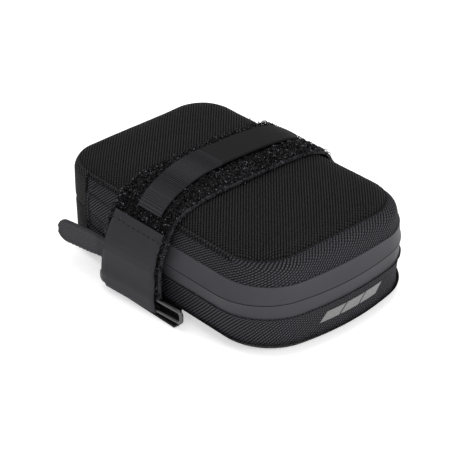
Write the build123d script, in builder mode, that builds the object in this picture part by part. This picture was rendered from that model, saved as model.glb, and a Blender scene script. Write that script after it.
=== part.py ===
from build123d import *

import os
from dataclasses import dataclass, replace
from math import cos, radians, sin

# Under-saddle bag with a clamshell lid, coil zip, loop strap with a hook end, and a rail band.
# Millimetres, +Z up, the zip's nose towards -Y and the spine towards +Y.
# The origin is on the resting face, in the bag's middle plane, half way along the body.

# ---- the body -------------------------------------------------------------
half_length = 75.8
waist = 48.6  # half width at the spine, where the walls stand straight
spine_corner = 18.5
straight_until = 15.0  # the sides run parallel to Y up to here, then draw in to the waist
waist_y = half_length - spine_corner
spine_start = 55.0  # the spine panel takes over from gussets and tapes here
coil_end = 48.0

fabric = 1.6
tape = 1.2
lining = 0.5
lining_inset = 4.3
lower_lining_height = (6.3, 24.6)
upper_lining_height = (29.2, 42.6)
parting = 26.9  # height of the zip line and of the spine's fold
parting_gap = 0.6


@dataclass
class Level:
    """The bag's outline at one height."""

    height: float
    half_width: float
    nose: float  # how far the front reaches
    corner: float  # radius of the front corners
    bow: float  # how far the front curve runs back by its ends


bottom_edge = Level(4.1, 50.4, 75.8, 28.0, 10.0)
crease = Level(19.3, 52.9, 75.4, 30.0, 8.2)
zip_line = Level(parting, 54.0, 75.8, 30.0, 11.0)
tape_top = Level(36.0, 51.1, 74.2, 27.0, 5.7)
roll = Level(43.9, 48.3, 71.4, 22.0, 1.0)
top_seam = Level(46.0, 46.6, 64.4, 20.4, 0.6)
zip_lower = replace(zip_line, height=parting - parting_gap / 2)
zip_upper = replace(zip_line, height=parting + parting_gap / 2)

# ---- bottom, top and inner pieces -----------------------------------------
pad_bevel = 7.0
stiffener = 1.5
stiffener_inset = 4.9
channel_depth = 2.2
crown_steps = ((0.0, 0.0), (7.0, 3.3), (15.0, 5.2))  # inset from the top seam, rise above it
binding_width = 1.1
lower_binding_height = (4.3, 6.1)
upper_binding_height = (44.1, 45.7)
coil_width = 1.4
coil_height = 1.4
coil_gap = 0.06
top_stiffener_height = 43.3

# ---- the strap ------------------------------------------------------------
strap_front = -10.7
strap_back = 27.3
strap = 1.7
strap_left = 57.8  # inner face of the left drop at its front edge
strap_right = 55.2
strap_splay = 2.3  # how much further out the left drop stands at its back edge
drop_bottom = 10.9
drop_top = 28.0  # above this the left drop leans in to the shoulder
webbing_reach = 53.9
ring_wire = 1.0
ring_corner = 2.0
ring_front = -24.5
ring_back = 29.5
upper_bar = (1.1, 9.4)  # distance out from the drop's inner face, height
lower_bar = (1.0, 3.4)
wrap_gap = 0.15  # between the ring's wire and the strap folded round it
wrap_radius = 1.75
hook_front = -8.4
hook_back = 25.5
hook_panel_thickness = 1.0
hook_eye = 1.95
hook_clearance = 0.2  # over the strap's fold round the ring
hook_gap = 0.5  # over the strap's loops
hook_reach = 0.85  # share of the slope up to the shoulder that the free end covers
hook_patch = 0.3
patch_height = (17.0, 27.0)

# ---- the rail band --------------------------------------------------------
band_front = 4.6
band_back = 22.4
band_root = -43.0
band_change = 4.0
band_tip = 46.0
ribbed = 1.2
smooth = 1.0

# ---- slider and pull ------------------------------------------------------
slider_y = 15.5
slider_length = 11.0
slider_width = 7.8
slider_face = zip_line.half_width + 0.35
link_wire = 0.5
link_x = -(zip_line.half_width + 1.75)
link_front = 14.1
pull_pivot = 28.9
pull_length = 34.0
pull_height = 11.6
pull_thickness = 2.2
pull_centre = 17.3
pull_splay = 4.2
pull_droop = 2.2

os.makedirs("parts", exist_ok=True)


def save(part, name):
    part.label = name
    export_step(part, f"parts/{name}.step")


def blend_levels(low, high, height):
    """The outline at a height between two levels."""
    share = (height - low.height) / (high.height - low.height)

    def mix(a, b):
        return a + (b - a) * share

    return Level(
        height,
        mix(low.half_width, high.half_width),
        mix(low.nose, high.nose),
        mix(low.corner, high.corner),
        mix(low.bow, high.bow),
    )


def outline(level, inset=0.0):
    """One level's outline as a sketch: straight spine, drawn-in sides and a bowed, rounded nose."""
    side = level.half_width - inset
    back = half_length - inset
    narrow = min(waist, level.half_width) - inset
    turn = spine_corner - inset
    nose = -level.nose + inset
    shoulder = nose + level.bow
    with BuildSketch(Plane.XY.offset(level.height)) as sketch:
        with BuildLine():
            for way in (-1, 1):
                Line((way * side, shoulder), (way * side, straight_until))
                if side - narrow > 0.01:
                    TangentArc((way * side, straight_until), (way * narrow, waist_y), tangent=(0, 1))
                else:
                    Line((way * side, straight_until), (way * narrow, waist_y))
                TangentArc((way * narrow, waist_y), (way * (narrow - turn), back), tangent=(0, 1))
            Line((-narrow + turn, back), (narrow - turn, back))
            ThreePointArc((-side, shoulder), (0, nose), (side, shoulder))
        make_face()
        fillet(sketch.vertices().sort_by(Axis.Y)[:2], radius=level.corner - inset)
    return sketch.sketch


def wall(levels, thickness, inset=0.0):
    """A closed wall that follows the outline through the levels."""
    outer = [outline(level, inset) for level in levels]
    inner = [outline(level, inset + thickness) for level in levels]
    with BuildPart() as ring:
        for low, high in zip(outer, outer[1:]):
            loft([low, high], ruled=True)
        for low, high in zip(inner, inner[1:]):
            loft([low, high], ruled=True, mode=Mode.SUBTRACT)
    return ring.part


def keep_front(part, limit):
    """The stretch of a wall in front of a limit along Y."""
    with BuildPart() as cut:
        add(part)
        split(bisect_by=Plane.XZ.offset(-limit), keep=Keep.TOP)
    return cut.part


def keep_back(part, limit):
    """The stretch of a wall behind a limit along Y."""
    with BuildPart() as cut:
        add(part)
        split(bisect_by=Plane.XZ.offset(-limit), keep=Keep.BOTTOM)
    return cut.part


# ---- gussets, zip tapes and spine -------------------------------------------
save(keep_front(wall([bottom_edge, crease], fabric), spine_start), "lower_gusset")
save(keep_front(wall([crease, zip_lower], tape), spine_start), "lower_zip_tape")
save(keep_back(wall([bottom_edge, crease, zip_lower], fabric), spine_start), "spine_lower")
save(keep_front(wall([zip_upper, tape_top], tape), spine_start), "upper_zip_tape")
save(keep_front(wall([tape_top, roll, top_seam], fabric), spine_start), "upper_gusset")
save(keep_back(wall([zip_upper, tape_top, roll, top_seam], fabric), spine_start), "spine_upper")


# ---- zip coils, linings and seam bindings ----------------------------------
lower_coil_levels = [blend_levels(crease, zip_lower, zip_lower.height - coil_height), zip_lower]
upper_coil_levels = [zip_upper, blend_levels(zip_upper, tape_top, zip_upper.height + coil_height)]
coil_inset = tape + coil_gap
save(keep_front(wall(lower_coil_levels, coil_width, coil_inset), coil_end), "lower_zip_coil")
save(keep_front(wall(upper_coil_levels, coil_width, coil_inset), coil_end), "upper_zip_coil")

lower_lining_levels = [
    blend_levels(bottom_edge, crease, lower_lining_height[0]),
    crease,
    blend_levels(crease, zip_line, lower_lining_height[1]),
]
upper_lining_levels = [
    blend_levels(zip_line, tape_top, upper_lining_height[0]),
    tape_top,
    blend_levels(tape_top, roll, upper_lining_height[1]),
]
save(wall(lower_lining_levels, lining, lining_inset), "lower_lining")
save(wall(upper_lining_levels, lining, lining_inset), "upper_lining")

lower_binding_levels = [blend_levels(bottom_edge, crease, height) for height in lower_binding_height]
upper_binding_levels = [blend_levels(roll, top_seam, height) for height in upper_binding_height]
save(wall(lower_binding_levels, binding_width, fabric + 0.2), "lower_seam_binding")
save(wall(upper_binding_levels, binding_width, fabric + 0.4), "upper_seam_binding")

# ---- bottom panel, with a shallow channel for the webbing under the bag -----
with BuildPart() as bottom_panel:
    loft([outline(replace(bottom_edge, height=0.0), pad_bevel), outline(bottom_edge)], ruled=True)
    with BuildSketch(Plane.XY):
        with Locations((0, (strap_front + strap_back) / 2)):
            Rectangle(3 * half_length, strap_back - strap_front + 1.0)
    extrude(amount=channel_depth, mode=Mode.SUBTRACT)
save(bottom_panel.part, "bottom_panel")

with BuildPart() as bottom_stiffener:
    add(outline(replace(bottom_edge, height=bottom_edge.height + 0.1), stiffener_inset))
    extrude(amount=stiffener)
save(bottom_stiffener.part, "bottom_stiffener")

with BuildPart() as base_webbing:
    with BuildSketch(Plane.XY):
        with Locations((0, (strap_front + strap_back) / 2)):
            Rectangle(2 * webbing_reach, strap_back - strap_front)
    extrude(amount=strap)
save(base_webbing.part, "base_webbing")

# ---- crowned top panel over a foam stiffener ---------------------------------
crown = [outline(replace(top_seam, height=top_seam.height + up), inset) for inset, up in crown_steps]
hollow = [
    outline(replace(top_seam, height=top_seam.height + up - fabric * (up > 0)), max(inset, fabric))
    for inset, up in crown_steps
]
with BuildPart() as top_panel:
    for low, high in zip(crown, crown[1:]):
        loft([low, high], ruled=True)
    for low, high in zip(hollow, hollow[1:]):
        loft([low, high], ruled=True, mode=Mode.SUBTRACT)
save(top_panel.part, "top_panel")

with BuildPart() as top_stiffener:
    add(outline(replace(top_seam, height=top_stiffener_height), stiffener_inset))
    extrude(amount=stiffener)
save(top_stiffener.part, "top_stiffener")

# ---- zip end stops ------------------------------------------------------------
with BuildPart() as zip_end_stops:
    with BuildSketch(Plane.XY.offset(zip_lower.height - 2.0)):
        with Locations((-46.9, coil_end + 2.0), (46.9, coil_end + 2.0)):
            Rectangle(0.8, 2.4)
    extrude(amount=1.8)
save(zip_end_stops.part, "zip_end_stops")

# ---- reflective mark: three leaning bars on the lower front wall ------------------
mark_height = 13.0
mark_length = 42.0
mark_rise = 4.6
mark_film = 0.25
front_wall = [blend_levels(bottom_edge, crease, 8.0), blend_levels(bottom_edge, crease, 18.0)]
with BuildPart() as mark_bars:
    with BuildSketch(Plane.XZ.offset(half_length - 14.0)):
        with BuildLine():
            lean = mark_rise
            Polyline(
                (-mark_length / 2, mark_height - mark_rise / 2),
                (mark_length / 2 - lean, mark_height - mark_rise / 2),
                (mark_length / 2, mark_height + mark_rise / 2),
                (-mark_length / 2 + lean, mark_height + mark_rise / 2),
                close=True,
            )
        make_face()
        for gap in (-7.0, 7.0):
            with BuildLine():
                Polyline(
                    (gap - lean / 2 - 0.5, mark_height - mark_rise / 2 - 0.1),
                    (gap - lean / 2 + 0.5, mark_height - mark_rise / 2 - 0.1),
                    (gap + lean / 2 + 0.5, mark_height + mark_rise / 2 + 0.1),
                    (gap + lean / 2 - 0.5, mark_height + mark_rise / 2 + 0.1),
                    close=True,
                )
            make_face(mode=Mode.SUBTRACT)
    extrude(amount=20.0)
with BuildPart() as reflective_mark:
    add(wall(front_wall, mark_film, -mark_film))
    add(mark_bars.part, mode=Mode.INTERSECT)
save(reflective_mark.part, "reflective_mark")


# ---- loop strap: over the lid and down both sides -------------------------------
def splay(y):
    """How far the left drop stands out beyond its front edge."""
    return strap_splay * (y - strap_front) / (strap_back - strap_front)


def drop_face(y):
    """X of the left drop's inner face."""
    return -strap_left - splay(y)


left_shoulder = (-50.6, 42.9)
crown_line = [(-46.6, 47.5), (-38.0, 50.7), (-23.0, 52.3), (23.0, 52.3), (38.0, 50.7), (46.6, 47.5)]


def strap_line(y):
    """The strap's inner face as points in the XZ plane, from the left drop's end to the right one's."""
    left = drop_face(y)
    drops = [(left, drop_bottom), (left, drop_top), left_shoulder]
    right = [(50.6, 42.9), (strap_right, 32.0), (strap_right, drop_bottom)]
    return drops + crown_line + right


def shifted(points, distance):
    """A polyline moved to its left-hand side, corner by corner."""
    vectors = [Vector(*point) for point in points]
    steps = [(b - a).normalized() for a, b in zip(vectors, vectors[1:])]
    sides = [Vector(-step.Y, step.X) for step in steps]
    result = []
    for index, point in enumerate(vectors):
        before = sides[max(index - 1, 0)]
        after = sides[min(index, len(sides) - 1)]
        middle = (before + after).normalized()
        moved = point + middle * (distance / middle.dot(before))
        result.append((moved.X, moved.Y))
    return result


def band_face(y, points, gap, thickness):
    """The cross-section of a band lying on a line of points, at one Y."""
    with BuildSketch(Plane.XZ.offset(-y)) as sketch:
        with BuildLine():
            Polyline(*shifted(points, gap), *reversed(shifted(points, gap + thickness)), close=True)
        make_face()
    return sketch.sketch


strap_edges = [band_face(y, strap_line(y), 0.0, strap) for y in (strap_front, strap_back)]


def along_drop(y, out, height):
    """A plane across the left drop, square to the ring's bars."""
    origin = (drop_face(y) - out, y, height)
    slope = splay(1.0) - splay(0.0)
    return Plane(origin=origin, x_dir=(-1, -slope, 0), z_dir=(-slope, 1, 0))


wrap_span = strap_back - strap_front
with BuildPart() as loop_strap:
    loft(strap_edges, ruled=True)
    with BuildSketch(along_drop(strap_front, *upper_bar)):
        with BuildLine():
            CenterArc((0, 0), ring_wire + wrap_gap, -90, 180)
            CenterArc((0, 0), wrap_radius, -90, 180)
            Line((0, ring_wire + wrap_gap), (0, wrap_radius))
            Line((0, -ring_wire - wrap_gap), (0, -wrap_radius))
        make_face()
    extrude(amount=wrap_span)
save(loop_strap.part, "loop_strap")

# ---- rectangular ring that the hook end passes through -----------------------------
ring_middle = along_drop(
    (ring_front + ring_back) / 2,
    (upper_bar[0] + lower_bar[0]) / 2,
    (upper_bar[1] + lower_bar[1]) / 2,
)
bar_gap = Vector(lower_bar[0] - upper_bar[0], lower_bar[1] - upper_bar[1]).length
ring_up = ring_middle.x_dir * (upper_bar[0] - lower_bar[0]) + Vector(0, 0, upper_bar[1] - lower_bar[1])
ring_plane = Plane(origin=ring_middle.origin, x_dir=ring_middle.z_dir, z_dir=ring_middle.z_dir.cross(ring_up))
with BuildPart() as strap_ring:
    with BuildLine(ring_plane) as ring_path:
        reach = (ring_back - ring_front) / 2
        rise = bar_gap / 2
        corners = [(-reach, -rise), (reach, -rise), (reach, rise), (-reach, rise)]
        FilletPolyline(*corners, radius=ring_corner, close=True)
    with BuildSketch(Plane(origin=ring_path.line @ 0, z_dir=ring_path.line % 0)):
        Circle(ring_wire)
    sweep(path=ring_path.line)
save(strap_ring.part, "strap_ring")


# ---- hook end: a smooth strap folded round the ring's lower bar, with its hook patch ----
def hook_line(y):
    """The hook panel's inner face in the XZ plane, from the fold at the ring up to its free end."""
    left = drop_face(y)
    out = wrap_radius + upper_bar[0] + hook_clearance
    eye = left - lower_bar[0] - hook_eye + hook_panel_thickness
    fold = [(eye, lower_bar[1]), (left - out, 8.0), (left - out, 11.4), (left - strap - hook_gap, 16.0)]
    drop = shifted([(left, 16.0), (left, drop_top), left_shoulder], strap + hook_gap)
    foot, tip = Vector(*drop[1]), Vector(*drop[2])
    end = foot + (tip - foot) * hook_reach
    return fold + [drop[1], (end.X, end.Y)]


def patch_line(y):
    """The hook patch's inner face, along the flat of the drop."""
    left = drop_face(y)
    face = left - strap - 0.12
    return [(face, height) for height in patch_height]


hook_edges = [band_face(y, hook_line(y), 0.0, hook_panel_thickness) for y in (hook_front, hook_back)]
patch_edges = [band_face(y, patch_line(y), 0.0, hook_patch) for y in (hook_front + 1.5, hook_back - 1.5)]
with BuildPart() as hook_panel:
    loft(hook_edges, ruled=True)
    with BuildSketch(along_drop(hook_front, *lower_bar)):
        Circle(hook_eye)
    extrude(amount=hook_back - hook_front)
    with BuildSketch(along_drop(hook_front, *lower_bar)):
        Circle(ring_wire + wrap_gap)
    extrude(amount=hook_back - hook_front, mode=Mode.SUBTRACT)
save(hook_panel.part, "hook_panel")
with BuildPart() as hook_tape:
    loft(patch_edges, ruled=True)
save(hook_tape.part, "hook_tape")


# ---- rail band on top of the strap: ribbed webbing with a smooth tab -------------------
def band_line(start, end):
    """The stretch of the crown line between two X places, as points in the XZ plane."""

    def height(x):
        for (x0, z0), (x1, z1) in zip(crown_line, crown_line[1:]):
            if x0 <= x <= x1:
                return z0 + (z1 - z0) * (x - x0) / (x1 - x0)
        raise ValueError("outside the crown")

    between = [point for point in crown_line if start < point[0] < end]
    return [(start, height(start)), *between, (end, height(end))]


band_width = band_back - band_front
band_middle = (band_front + band_back) / 2
with BuildPart() as ribbed_webbing:
    section = band_face(band_back, band_line(band_root, band_change), strap + 0.3, ribbed)
    extrude(section, amount=band_width, dir=(0, -1, 0))
save(ribbed_webbing.part, "ribbed_webbing")

with BuildPart() as hook_tab:
    section = band_face(band_back, band_line(band_change, band_tip), strap + 0.3, smooth)
    extrude(section, amount=band_width, dir=(0, -1, 0))
    with BuildSketch(Plane.XY.offset(crown_line[-1][1])):
        with Locations(((band_change + band_tip) / 2, band_middle)):
            RectangleRounded(band_tip - band_change + 14.0, band_width, 6.9)
    extrude(amount=12.0, mode=Mode.INTERSECT)
save(hook_tab.part, "hook_tab")

# ---- zip slider with its bridge ----------------------------------------------------------
plate = 0.8
bridge_rise = 1.4
inner_plate = zip_line.half_width - tape - coil_width - 0.9
neck = 0.3
with BuildPart() as zip_slider:
    with BuildSketch(Plane.YZ.offset(-slider_face - plate)):
        with Locations((slider_y, parting)):
            RectangleRounded(slider_length, slider_width, 2.4)
    extrude(amount=plate)
    with BuildSketch(Plane.YZ.offset(-inner_plate)):
        with Locations((slider_y, parting)):
            RectangleRounded(slider_length, slider_width - 1.2, 2.4)
    extrude(amount=plate)
    with BuildSketch(Plane.YZ.offset(-slider_face)):
        with Locations((slider_y - 3.0, parting)):
            Rectangle(3.0, neck)
    extrude(amount=slider_face - inner_plate)
    with BuildSketch(Plane.YZ.offset(-slider_face - plate - bridge_rise)):
        with Locations((link_front - 2.2, parting), (link_front + 2.2, parting)):
            Rectangle(1.2, 1.6)
    extrude(amount=bridge_rise)
    with BuildSketch(Plane.YZ.offset(-slider_face - plate - bridge_rise - 0.7)):
        with Locations((link_front, parting)):
            RectangleRounded(6.0, 2.4, 0.8)
    extrude(amount=0.7)
save(zip_slider.part, "zip_slider")

# ---- pull: a wire link through the bridge, and a moulded tab on its rear bar ----------------
link_corners = [(link_front, 30.6), (pull_pivot, 21.9), (pull_pivot, 12.6), (link_front, 24.0)]
with BuildPart() as pull_link:
    with BuildLine(Plane.YZ.offset(link_x)) as link_path:
        FilletPolyline(*link_corners, radius=0.9, close=True)
    with BuildSketch(Plane(origin=link_path.line @ 0, z_dir=link_path.line % 0)):
        Circle(link_wire)
    sweep(path=link_path.line)
save(pull_link.part, "pull_link")

eye_bottom = 14.8
eye_height = 5.6
tab_x = Vector(-sin(radians(pull_splay)), cos(radians(pull_splay)), 0)
side_plane = Plane(origin=(link_x, pull_pivot, pull_centre), x_dir=tab_x, z_dir=tab_x.cross(Vector(0, 0, 1)))
with BuildPart() as pull_tab:
    with BuildSketch(side_plane):
        with BuildLine():
            half = pull_height / 2
            end = pull_length - half
            Line((1.6, half), (end, half - pull_droop / 2))
            ThreePointArc(
                (end, half - pull_droop / 2),
                (pull_length, -pull_droop / 2),
                (end, -half - pull_droop / 2),
            )
            Line((end, -half - pull_droop / 2), (1.6, -half))
            Line((1.6, -half), (1.6, half))
        make_face()
    extrude(amount=pull_thickness / 2, both=True)
    with BuildSketch(Plane.XY.offset(eye_bottom)):
        with Locations((link_x, pull_pivot)):
            Circle(pull_thickness / 2)
            Rectangle(pull_thickness, 2.2, align=(Align.CENTER, Align.MIN))
    extrude(amount=eye_height)
    with BuildSketch(Plane.XY.offset(eye_bottom - 1.0)):
        with Locations((link_x, pull_pivot)):
            Circle(link_wire + 0.06)
    extrude(amount=eye_height + 2.0, mode=Mode.SUBTRACT)
save(pull_tab.part, "pull_tab")
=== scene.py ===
import math

import bmesh
import bpy
import numpy as np
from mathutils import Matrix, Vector


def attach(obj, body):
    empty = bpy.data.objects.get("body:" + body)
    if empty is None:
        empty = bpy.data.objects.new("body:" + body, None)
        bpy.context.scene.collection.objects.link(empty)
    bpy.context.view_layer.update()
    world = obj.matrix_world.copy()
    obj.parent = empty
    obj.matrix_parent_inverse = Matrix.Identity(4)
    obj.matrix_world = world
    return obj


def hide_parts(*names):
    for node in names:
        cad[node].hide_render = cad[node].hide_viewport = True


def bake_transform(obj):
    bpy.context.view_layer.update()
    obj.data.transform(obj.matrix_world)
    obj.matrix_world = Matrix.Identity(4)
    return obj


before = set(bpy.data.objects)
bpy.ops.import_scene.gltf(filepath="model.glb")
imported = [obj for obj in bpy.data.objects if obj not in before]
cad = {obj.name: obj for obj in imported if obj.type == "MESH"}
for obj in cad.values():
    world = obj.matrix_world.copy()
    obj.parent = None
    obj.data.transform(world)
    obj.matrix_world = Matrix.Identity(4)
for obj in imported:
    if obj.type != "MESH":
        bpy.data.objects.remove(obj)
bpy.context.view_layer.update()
mm = 0.001
print("frame loaded,", len(cad), "parts")

# camera first, then floor and light
cameraSetup = {"target": (0, 2.25, 30.5), "back": (-0.5806, -0.6341, 0.5107), "distance": 836.9,
               "lens": 138.8, "shift": (-0.0207, -0.0409), "near": 0.01}
cameraData = bpy.data.cameras.new("bagCamera")
cameraData.lens = cameraSetup["lens"]
cameraData.shift_x, cameraData.shift_y = cameraSetup["shift"]
cameraData.clip_start = cameraSetup["near"]
camera = bpy.data.objects.new("bagCamera", cameraData)
bpy.context.scene.collection.objects.link(camera)
backward = Vector(cameraSetup["back"]).normalized()
camera.location = (Vector(cameraSetup["target"]) + backward * cameraSetup["distance"]) * mm
camera.rotation_euler = (-backward).to_track_quat("-Z", "Y").to_euler()
bpy.context.scene.camera = camera


# materials: sums on sockets written as plain expressions
class Wire:
    def __init__(self, tree, socket):
        self.tree, self.socket = tree, socket

    def sums(self, operation, other, flip=False):
        made = self.tree.nodes.new("ShaderNodeMath")
        made.operation = operation
        pair = (other, self) if flip else (self, other)
        for slot, value in zip(made.inputs, pair):
            if isinstance(value, Wire):
                self.tree.links.new(value.socket, slot)
            else:
                slot.default_value = value
        return Wire(self.tree, made.outputs[0])

    def __add__(self, other):
        return self.sums("ADD", other)

    def __sub__(self, other):
        return self.sums("SUBTRACT", other)

    def __rsub__(self, other):
        return self.sums("SUBTRACT", other, flip=True)

    def __mul__(self, other):
        return self.sums("MULTIPLY", other)

    def __truediv__(self, other):
        return self.sums("DIVIDE", other)

    __radd__ = __add__
    __rmul__ = __mul__


class Finish:
    def __init__(self, name, **fixed):
        self.material = bpy.data.materials.new(name)
        self.material.use_nodes = True
        self.tree = self.material.node_tree
        self.shader = self.tree.nodes["Principled BSDF"]
        for key, value in fixed.items():
            self.shader.inputs[key.replace("_", " ")].default_value = value

    def node(self, kind, settings=None, sockets=None, out=0):
        made = self.tree.nodes.new(kind)
        for key, value in (settings or {}).items():
            if key == "stops":
                ramp = made.color_ramp.elements
                while len(ramp) < len(value):
                    ramp.new(0.5)
                for stop, (place, shade) in zip(ramp, value):
                    stop.position, stop.color = place, (*shade, 1)
            else:
                setattr(made, key, value)
        for key, value in (sockets or {}).items():
            if isinstance(value, Wire):
                self.tree.links.new(value.socket, made.inputs[key])
            else:
                made.inputs[key].default_value = value
        return Wire(self.tree, made.outputs[out])

    def feed(self, socket, wire):
        self.tree.links.new(wire.socket, self.shader.inputs[socket])

    def maths(self, operation, value, other=0.0):
        return self.node("ShaderNodeMath", {"operation": operation}, {0: value, 1: other})

    def ridges(self, phase):
        return self.maths("ABSOLUTE", self.maths("SINE", phase))

    def place(self, space="Object"):
        where = self.node("ShaderNodeTexCoord", out={"Object": 3, "UV": 2}[space])
        return self.node("ShaderNodeMapping", None, {"Vector": where, "Scale": (1 / mm,) * 3})  # in millimetres

    def axes(self, where):
        split = self.node("ShaderNodeSeparateXYZ", None, {0: where}).socket.node
        return [Wire(self.tree, output) for output in split.outputs]

    def noise(self, where, scale, detail=2.0):
        return self.node("ShaderNodeTexNoise", None, {"Vector": where, "Scale": scale, "Detail": detail})

    def mix(self, factor, dark, light):
        return self.node("ShaderNodeMix", {"data_type": "RGBA"},
                         {"Factor": factor, 6: (*dark, 1), 7: (*light, 1)}, out=2)

    def bump(self, height, depth):
        sockets = {"Strength": 1.0, "Distance": depth * mm, "Height": height}
        self.feed("Normal", self.node("ShaderNodeBump", None, sockets))


def grey(level):
    return (level, level, level)


def cool(level):
    return (level, level * 0.985, level * 1.13)


def twillHeight(finish, x, y, angle, pitch, bead):
    c, s = math.cos(math.radians(angle)), math.sin(math.radians(angle))
    across = (x * c + y * s) / pitch
    along = (y * c - x * s) / bead
    row = finish.maths("FLOOR", across)
    beads = finish.ridges((along + row * 0.5) * math.pi)  # each row starts half a bead on
    return finish.ridges(across * math.pi) * (0.5 + 0.5 * beads)


def wovenFinish(name, space, angle, pitch, bead, dark, light, depth, rough=0.62):
    finish = Finish(name, Specular_IOR_Level=0.05)
    where = finish.place(space)
    x, y, z = finish.axes(where)
    wave = finish.noise(where, 0.16, 3.0)
    height = twillHeight(finish, x + wave * 0.5, y, angle, pitch, bead)
    # colour follows the weave's relief: painted shade in the grooves and painted highlight on the crests, with fine
    # noise adding painted highlight speckles
    shade = height * height * 0.9 + (finish.noise(where, 1.7) - 0.5) * 1.1 + 0.02
    finish.feed("Base Color", finish.mix(shade, dark, light))
    finish.feed("Roughness", rough + 0.2 * (1 - height))
    finish.bump(height, depth)
    return finish.material


def smoothFinish(name, space, dark, light, rough, grain, depth, scale=3.5, gloss=0.2):
    finish = Finish(name, Specular_IOR_Level=gloss)
    where = finish.place(space)
    fine, broad = finish.noise(where, scale), finish.noise(where, 0.09, 3.0)
    finish.feed("Base Color", finish.mix(fine * 0.6 + broad * 0.5, dark, light))
    finish.feed("Roughness", rough + grain * (broad - 0.5))
    finish.bump(fine, depth)
    return finish.material


def metalFinish(name, shade, rough):
    finish = Finish(name, Metallic=1.0)
    where = finish.place()
    fine, broad = finish.noise(where, 1.6, 4.0), finish.noise(where, 0.3)
    finish.feed("Base Color", finish.mix(broad, grey(shade * 0.8), grey(shade * 1.2)))
    finish.feed("Roughness", rough + 0.25 * (fine - 0.5))
    finish.bump(fine, 0.03)
    return finish.material


def pileFinish(name, scale, light):
    finish = Finish(name, Specular_IOR_Level=0.14)
    where = finish.place()
    speck, clump = finish.noise(where, scale, 1.0), finish.noise(where, 0.35)
    # the bright top stop speckles the loops with painted glints on an otherwise near-black pile
    stops = [(0.45, cool(0.001)), (0.58, cool(0.005)), (0.67, cool(light))]
    tone = finish.node("ShaderNodeValToRGB", {"stops": stops}, {0: speck * 0.75 + clump * 0.25})
    finish.feed("Base Color", tone)
    finish.feed("Roughness", 0.35 + 0.3 * clump)
    return finish.material


rubberGrip = {"pitch": 1.3, "fadeFrom": 36.5, "fadeTo": 39.0}


def rubberFinish():
    finish = Finish("pullRubber", Specular_IOR_Level=0.25)
    where = finish.place()
    x, y, z = finish.axes(where)
    turns = math.pi / rubberGrip["pitch"]
    field = finish.node("ShaderNodeMapRange", None, {0: y, 1: rubberGrip["fadeFrom"], 2: rubberGrip["fadeTo"]})
    height = (finish.ridges((y + z) * turns) * finish.ridges((y - z) * turns)) * field
    # the raised diamonds are painted lighter than the grooves between them: painted highlight and shade
    tone = height * 0.7 + finish.noise(where, 1.5) * 0.35
    finish.feed("Base Color", finish.mix(tone, cool(0.014), cool(0.038)))
    finish.feed("Roughness", 0.5 + 0.18 * (1 - height))
    finish.bump(height, 0.22)
    return finish.material


def filmFinish():
    finish = Finish("reflectiveFilm", Metallic=0.35)
    where = finish.place()
    x, y, z = finish.axes(where)
    turns = 4.2  # radians a millimetre
    cells = finish.ridges((x + z) * turns) * finish.ridges((x - z) * turns)
    finish.feed("Base Color", finish.mix(cells * 0.6 + finish.noise(where, 1.0) * 0.4, grey(0.10), grey(0.25)))
    finish.feed("Roughness", 0.42 - 0.14 * cells)
    finish.bump(cells, 0.03)
    return finish.material


def webFinish(name, dark, light, pitch):
    finish = Finish(name, Specular_IOR_Level=0.15)
    where = finish.place("UV")
    x, y, z = finish.axes(where)
    pick, halfTurn = 0.8, 1.57
    picks = finish.ridges(y * (math.pi / pick) + finish.maths("FLOOR", x / pitch) * halfTurn)
    height = finish.ridges(x * (math.pi / pitch)) * (0.6 + 0.4 * picks)
    # the ribs are painted lighter than the grooves between them: painted highlight and shade
    finish.feed("Base Color", finish.mix(height * 0.8 + finish.noise(where, 1.2) * 0.25, dark, light))
    finish.feed("Roughness", 0.66 - 0.12 * height)
    finish.bump(height, 0.12)
    return finish.material


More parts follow.
